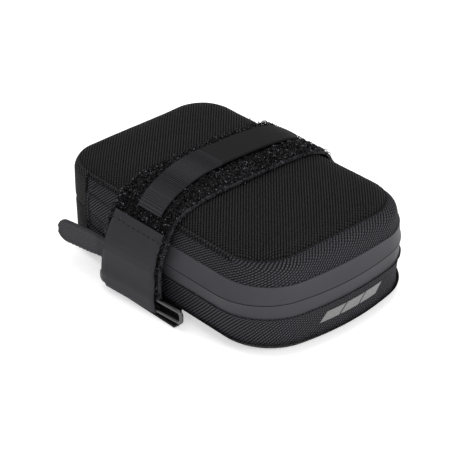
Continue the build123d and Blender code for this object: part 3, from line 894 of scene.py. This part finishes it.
def pileKind(centre, normal):
    (x, y, z), (nx, ny, nz) = centre, normal
    if abs(ny) > 0.7:  # the strap's two edges; the lower back one stays bare for the pull
        return "frontEdge" if ny < 0 else "backEdge" if z > pileArea["shaggyFrom"] else "none"
    outward = nx * np.sign(x) * (abs(x) > 47) + nz > 0.25
    if not outward or (y > pileArea["bareFrom"] and z < pileArea["bareTop"]):
        return "none"
    root = pileArea["lean"] * max(0.0, min(1.0, (pileArea["leanFrom"] - x) / pileArea["leanRun"])) ** 1.5
    (front, back), (left, right) = pileArea["band"], pileArea["bandEnds"]
    underBand = front < y + root < back and left < x < right and z > pileArea["bandLow"]
    front, back = pileArea["hook"]
    underHook = front < y < back and x < pileArea["hookIn"] and z < pileArea["hookTop"]
    return "short" if underBand or underHook else "open"


def addPile():
    bed = bpy.data.objects.new("bed", loopStrap.data.copy())
    bpy.context.scene.collection.objects.link(bed)
    mesh = bed.data
    amounts = [pileAmount[pileKind(face.center / mm, face.normal)] for face in mesh.polygons]
    for key, numbers in zip(("pileMask", "pileSize"), zip(*amounts)):
        mesh.attributes.new(key, "FLOAT", "FACE").data.foreach_set("value", numbers)
    piece = bake("strapLoops", bed, pileTool(look["pile"]), pile, look["pile"])
    rides(piece, "lid", "loop_pile")
    print("loops:", len(piece.data.polygons))


addPile()

# hook end: folded round the ring's lower bar, then up over the strap's end
hook = {"front": -8.4, "back": 25.5, "barOut": 1.0, "barHeight": 3.4, "thick": 0.85, "fold": 1.08, "reach": 0.86,
        "overWrap": 2.95, "overStrap": 2.1, "tip": (-52.55, 43.9), "bow": 1.9, "dip": 0.2,
        "stitchBack": 4.2, "stitchIn": 1.2, "stitchSteps": 24}


def hookLine(y):
    left = dropFace(y)
    foot = np.array([left - hook["overStrap"], strap["knee"]])
    end = foot + (hook["tip"] - foot) * hook["reach"]
    turn = [(left - hook["barOut"] - hook["fold"] * math.cos(a), hook["barHeight"] - hook["fold"] * math.sin(a))
            for a in np.radians([-130, 180, 140, 100, 60, 20])]
    wrap = left - hook["overWrap"]
    return turn + [(wrap + 0.35, 7.0), (wrap, 9.4), (wrap, 11.0), (foot[0], 16.0), tuple(foot), tuple(end)]


def hookEdge(line, y, share):
    # the two long edges bow a little, the corners are rounded
    rise = np.clip((line[:, 1] - 4.0) / 35.0, 0, 1)
    low = hook["bow"] * np.sin(np.clip(rise * 1.6, 0, 1) * math.pi) * (share > 0.5)
    bow = (low - hook["dip"] * np.sin(rise * math.pi) * (share < 0.5)) * abs(2 * share - 1)
    return y + bow


hookRows = acrossRows(hook["front"], hook["back"], 14)
hookPanel = sweepBand("hookPanel", look["panel"], hookLine, hookRows, edgeThin(hook["thick"], 0.45), 0.0, 110,
                      edge=hookEdge)
rides(hookPanel, "hook_end", "smooth_strap", "hook_panel")


def hookStitch(y):
    line, where = rounded(hookLine(y), count=200)
    out = lineNormals(line)
    at = int(len(line) * (1 - hook["stitchBack"] / where[-1]))
    spot = line[at] + out[at] * (hook["thick"] + 0.02)
    return (spot[0], y, spot[1])


stitchRows = np.linspace(hook["front"] + hook["stitchIn"], hook["back"] - hook["stitchIn"], hook["stitchSteps"])
addStitches("hookStitches", [[hookStitch(y) for y in stitchRows]], "hook", look["darkThread"], "hook_end", "binding")

# webbing under the bag: it draws forward where it comes up to the ring
webbing = {"line": [(-59.8, 0.35), (-57.0, 0.1), (-52.0, 0.0), (30.0, 0.0), (53.9, 0.0)], "skew": 10.5,
           "skewFrom": -44.0, "skewRun": 13.0, "thick": 1.6, "tipThick": 0.9, "tip": 9.0}


def skewed(line, y, share):
    return y - webbing["skew"] * smooth(np.clip((webbing["skewFrom"] - line[:, 0]) / webbing["skewRun"], 0, 1))


underWebbing = sweepBand("underWebbing", look["webbing"], lambda y: webbing["line"],
                         acrossRows(strap["front"], strap["back"], 16),
                         lambda where, share: np.where(where < webbing["tip"], webbing["tipThick"], webbing["thick"]),
                         0.0, 90, edge=skewed)
rides(underWebbing, "base", "smooth_strap", "base_webbing")
print("straps made")

# rail band: ribbed webbing, then its smooth tab
band = {"front": 4.6, "back": 22.4, "root": -48.4, "change": -6.0, "overlap": 0.6, "bend": -10.0, "lean": 7.5,
        "narrow": 0.1, "tip": 46.0, "corner": 6.9, "above": 2.0, "hump": 0.9, "humpRun": 46.0, "tabRun": 50.0,
        "thick": 0.85, "tabThick": 1.0, "rib": 1.0, "ribRise": 0.5, "count": 360}


def bandPath(start, end):
    line = [(-strap["shoulder"][0], strap["shoulder"][1])] + crownLine
    xs, zs = np.array(line).T
    inside = [p for p in line if start < p[0] < end]
    return [(start, float(np.interp(start, xs, zs)))] + inside + [(end, float(np.interp(end, xs, zs)))]


def ribTool(material):
    tree, start, node, close = nodeTool("webbingRibs", material, {"Pitch": 1.0, "Rise": 1.0})
    turns = maths(node, "DIVIDE", named(node, "along"), start.outputs["Pitch"])
    rib = maths(node, "ABSOLUTE", maths(node, "SINE", maths(node, "MULTIPLY", turns, math.pi)))
    kept = maths(node, "MULTIPLY", maths(node, "MULTIPLY", rib, start.outputs["Rise"]), named(node, "upperFace"))
    up = node("ShaderNodeCombineXYZ", None, {2: kept})
    moved = node("GeometryNodeSetPosition", None, {"Geometry": start.outputs["Geometry"], "Offset": up.outputs[0]})
    close(moved.outputs[0])
    return tree


def addBand():
    count, ys = band["count"], acrossRows(band["front"], band["back"], 10)
    half, middle = (band["back"] - band["front"]) / 2, (band["back"] + band["front"]) / 2

    def ribEdge(line, y, share):
        bent = np.clip((band["bend"] - line[:, 0]) / (band["bend"] - band["root"]), 0, 1)
        return middle + (y - middle) * (1 - band["narrow"] * bent) - band["lean"] * bent ** 1.5

    def hump(where, share):
        return band["hump"] * np.sin(np.clip(where / band["humpRun"], 0, 1) * math.pi * 0.5) ** 2

    source = sweepBand("ribs", look["ribbed"], lambda y: bandPath(band["root"], band["change"] + band["overlap"]), ys,
                       edgeThin(band["thick"], 0.4), band["above"], count, edge=ribEdge, shift=hump)
    points = len(ys) * count
    along = np.tile(np.linspace(0, (band["change"] - band["root"]) * mm, count), len(ys) * 2)
    face = np.concatenate([np.ones(points), np.zeros(points)])
    for key, values in (("along", along), ("upperFace", face)):
        source.data.attributes.new(key, "FLOAT", "POINT").data.foreach_set("value", values)
    sizes = {"Pitch": band["rib"] * mm, "Rise": band["ribRise"] * mm}
    piece = bake("ribbedBand", source, ribTool(look["ribbed"]), sizes, look["ribbed"])
    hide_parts("ribbed_webbing")
    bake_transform(piece)

    def tabEdge(line, y, share):
        reach = np.clip(line[:, 0] - (band["tip"] - band["corner"]), 0, band["corner"])
        allowed = half - band["corner"] + np.sqrt(np.maximum(band["corner"] ** 2 - reach ** 2, 0.0))
        return middle + (y - middle) / half * allowed

    def tabHump(where, share):
        return np.cos(np.clip(where / band["tabRun"], 0, 1) * math.pi * 0.5) + 0.05

    tab = sweepBand("hookTab", look["tab"], lambda y: bandPath(band["change"], band["tip"]), ys,
                    edgeThin(band["tabThick"], 0.5), band["above"], 90, edge=tabEdge, shift=tabHump)
    rides(tab, "rail_band", "hook_tab", "hook_tab")


addBand()

# pull tab: rounded rubber with a rim, hung on the link's rear bar
pull = {"x": -55.75, "pivot": 28.9, "centre": 17.3, "start": 1.3, "length": 37.0, "height": 12.4, "droop": 2.2,
        "splay": 4.4, "around": 28, "thick": 0.85, "rim": 0.45, "rimIn": 0.9, "scallop": 0.22,
        "barrel": [(0.62, 14.8), (1.1, 14.8), (1.25, 15.2), (1.25, 20.0), (1.1, 20.4), (0.62, 20.4)],
        "barrelAround": 16}


def pullHalf(a):
    half, bow = pull["height"] / 2, pull["length"] - pull["height"] / 2
    if a > bow:
        return half * math.sqrt(max(1 - ((a - bow) / half) ** 2, 0.0))
    swell = 0.5 - 0.5 * math.cos(math.pi * min(1, max(0, (a - 4) / 12)))
    return half * (0.55 + 0.33 * min(1, (a - pull["start"]) / 2.2) + 0.12 * swell)


def addPull():
    half, length, around = pull["height"] / 2, pull["length"], pull["around"]
    bow, turn, points = length - half, math.radians(pull["splay"]), []
    stations = np.concatenate([np.linspace(pull["start"], bow, 30),
                               bow + half * np.sin(np.linspace(0.1, math.pi / 2 - 0.05, 12))])
    for a in stations:
        tall = pullHalf(a)
        middle = pull["centre"] - pull["droop"] * (a / length) ** 1.3
        scallop = pull["scallop"] * math.sin(a * 2.4) * (a > 8) * (a < bow)
        for angle in 2 * math.pi * np.arange(around) / around:
            c, s = math.cos(angle), math.sin(angle)
            z = np.sign(s) * abs(s) ** 0.75 * tall
            rim = pull["rim"] * math.exp(-((abs(z) - tall + pull["rimIn"]) / 0.7) ** 2) * (tall > 2)
            x = np.sign(c) * abs(c) ** 0.4 * (pull["thick"] * min(1, tall / 2.5) + rim)
            z -= scallop * (s < -0.6)
            points.append((pull["x"] - a * math.sin(turn) + x, pull["pivot"] + a * math.cos(turn), middle + z))
    faces = gridFaces(len(stations), around, wrapColumns=True)
    faces += [tuple(range(around)), tuple(range(len(points) - around, len(points)))]
    first, sides = len(points), pull["barrelAround"]
    for radius, z in pull["barrel"]:
        for angle in 2 * math.pi * np.arange(sides) / sides:
            points.append((pull["x"] + radius * math.cos(angle), pull["pivot"] + radius * math.sin(angle), z))
    faces += gridFaces(len(pull["barrel"]), sides, wrapRows=True, wrapColumns=True, first=first)
    piece = makePiece("pullTab", points, faces, look["rubber"])
    rides(piece, "pull", "pull_rubber", "pull_tab")


addPull()
print("band and pull made")

# reflective mark: leaning bars laid on the lower front wall
mark = {"middle": 2.5, "length": 42.0, "bars": 3, "low": 10.6, "high": 15.2, "lean": 4.6, "gapWidth": 1.0, "out": 0.22,
        "sunk": 0.3, "across": 14, "tall": 4}


def frontPoint(s, height, out):
    path = trace(levelFor(height), 0.0, bag["spineStart"])[::-1]
    run = np.concatenate([[0], np.cumsum(np.linalg.norm(np.diff(path, axis=0), axis=1))])
    run -= run[-1] / 2
    normal = -sideNormals(path, False)
    x, y = np.interp(s, run, path[:, 0]), np.interp(s, run, path[:, 1])
    nx, ny = np.interp(s, run, normal[:, 0]), np.interp(s, run, normal[:, 1])
    share = (height - levels[0, 0]) / (levels[1, 0] - levels[0, 0])
    puffed = bag["lowerPuff"] * math.sin(math.pi * share) ** 0.7
    return (x + nx * (out + puffed), y + ny * (out + puffed), height)


def addMark():
    points, faces = [], []
    across, tall = mark["across"], mark["tall"]
    width, size = (mark["length"] - mark["lean"]) / mark["bars"], across * tall
    border = (list(range(across)) + [r * across + across - 1 for r in range(1, tall)]
              + [(tall - 1) * across + c for c in range(across - 2, -1, -1)]
              + [r * across for r in range(tall - 2, 0, -1)])
    for index in range(mark["bars"]):
        start = mark["middle"] - mark["length"] / 2 + index * width
        first = len(points)
        for out in (mark["out"], -mark["sunk"]):
            for h in np.linspace(mark["low"], mark["high"], tall):
                lean = mark["lean"] * (h - mark["low"]) / (mark["high"] - mark["low"])
                for s in np.linspace(start + lean, start + lean + width - mark["gapWidth"], across):
                    points.append(frontPoint(s, h, out))
        faces += gridFaces(tall, across, first=first) + gridFaces(tall, across, first=first + size)
        for a, b in zip(border, border[1:] + border[:1]):
            faces.append((first + a, first + b, first + size + b, first + size + a))
    piece = makePiece("reflectiveBars", points, faces, look["film"], sharp=40)
    rides(piece, "base", "reflective_film", "reflective_mark")


addMark()

# carried-over CAD parts get their finishes
for node, key in {"zip_slider": "slider", "pull_link": "slider", "zip_end_stops": "slider", "strap_ring": "ring",
                  "hook_tape": "patch"}.items():
    cad[node].data.materials.clear()
    cad[node].data.materials.append(look[key])
print("all pieces made")
